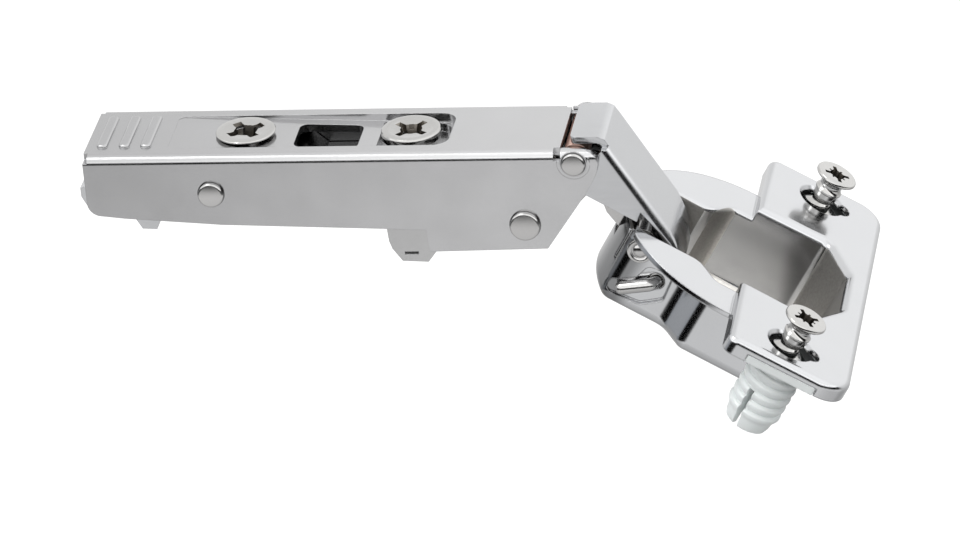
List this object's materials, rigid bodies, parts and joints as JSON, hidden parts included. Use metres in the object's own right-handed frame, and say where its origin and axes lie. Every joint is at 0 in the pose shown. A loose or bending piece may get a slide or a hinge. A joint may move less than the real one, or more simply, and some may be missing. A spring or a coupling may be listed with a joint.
{
  "type": "concealed cup hinge",
  "caption": "Concealed clip-on cup hinge for cabinet doors, shown open: pressed steel arm, two links, a cup that sits in the door, and knock-in dowels.",
  "frame": {"origin": "middle of the flat underside of the clip base, which rests on the cabinet's mounting plate", "axes": "+X along the arm towards the door, +Y across the arm, +Z out of the mounting plate"},
  "size_m": [0.1104, 0.056, 0.0396],
  "materials": {
    "nickel_plate": "bright nickel-plated pressed steel",
    "rivet_steel": "satin steel",
    "link_plate": "bright nickel-plated pressed steel",
    "screw_steel": "zinc-plated steel",
    "bronze": "sintered bronze",
    "spring_steel": "oiled spring steel",
    "pale_plastic": "natural nylon",
    "dark_steel": "zinc-plated steel"
  },
  "bodies": {
    "clip_base": {"clip_base": "dark_steel", "latch_pin": "rivet_steel"},
    "slider": {"tilt_rivet": "rivet_steel"},
    "arm": {"hinge_arm": "nickel_plate", "link_rivet": "rivet_steel", "inner_rivet": "rivet_steel", "pivot_bush": "bronze", "closing_spring": "spring_steel"},
    "latch_lever": {"latch_lever": "dark_steel", "latch_spring": "spring_steel"},
    "depth_screw": {"depth_screw": "screw_steel"},
    "side_screw": {"side_screw": "screw_steel"},
    "outer_link": {"outer_link": "link_plate"},
    "inner_link": {"inner_link": "link_plate"},
    "cup": {"cup": "nickel_plate", "inner_link_pin": "rivet_steel", "outer_link_pin": "rivet_steel", "dowel_near": "pale_plastic", "dowel_far": "pale_plastic", "fixing_screw_near": "screw_steel", "fixing_screw_far": "screw_steel"}
  },
  "joints": [
    {"name": "arm_depth", "type": "slide", "parent": "clip_base", "child": "slider", "axis": [1, 0, 0], "range_m": [-0.002, 0.002]},
    {"name": "arm_tilt", "type": "hinge", "parent": "slider", "child": "arm", "pos_m": [-0.0171, 0, 0.0003], "axis": [0, -1, 0], "range_deg": [-1.5, 1.5]},
    {"name": "side_screw_turn", "type": "hinge", "parent": "slider", "child": "side_screw", "pos_m": [0.01094, 0, 0.005], "axis": [0, 0, 1], "range_deg": [-220, 220]},
    {"name": "depth_screw_turn", "type": "hinge", "parent": "arm", "child": "depth_screw", "pos_m": [-0.0129, 0, 0.005], "axis": [0, 0, -1], "range_deg": [-90, 90]},
    {"name": "latch_lift", "type": "hinge", "parent": "clip_base", "child": "latch_lever", "pos_m": [-0.0232, 0, 0], "axis": [0, 1, 0], "range_deg": [0, 10], "stiffness_Nm_per_rad": 0.02, "springref_deg": -17.19, "deforming": ["latch_spring"]},
    {"name": "outer_link_swing", "type": "hinge", "parent": "arm", "child": "outer_link", "pos_m": [0.035, 0, 0.0043], "axis": [0, 1, 0], "range_deg": [0, 27.3]},
    {"name": "cup_swing", "type": "hinge", "parent": "outer_link", "child": "cup", "pos_m": [0.04533, 0, -0.01421], "axis": [0, -1, 0], "range_deg": [0, 148.13]},
    {"name": "inner_link_swing", "type": "hinge", "parent": "cup", "child": "inner_link", "pos_m": [0.04349, 0, -0.0092], "axis": [0, 1, 0], "range_deg": [0, 179.7]}
  ],
  "couplings": [
    {"joint": "side_screw_turn", "follows": "arm_tilt", "ratio": 146.67},
    {"joint": "depth_screw_turn", "follows": "arm_depth", "rad_per_m": 785.39},
    {"joint": "outer_link_swing", "follows": "cup_swing", "ratio": 0.18381},
    {"joint": "inner_link_swing", "follows": "cup_swing", "ratio": 1.2123}
  ]
}
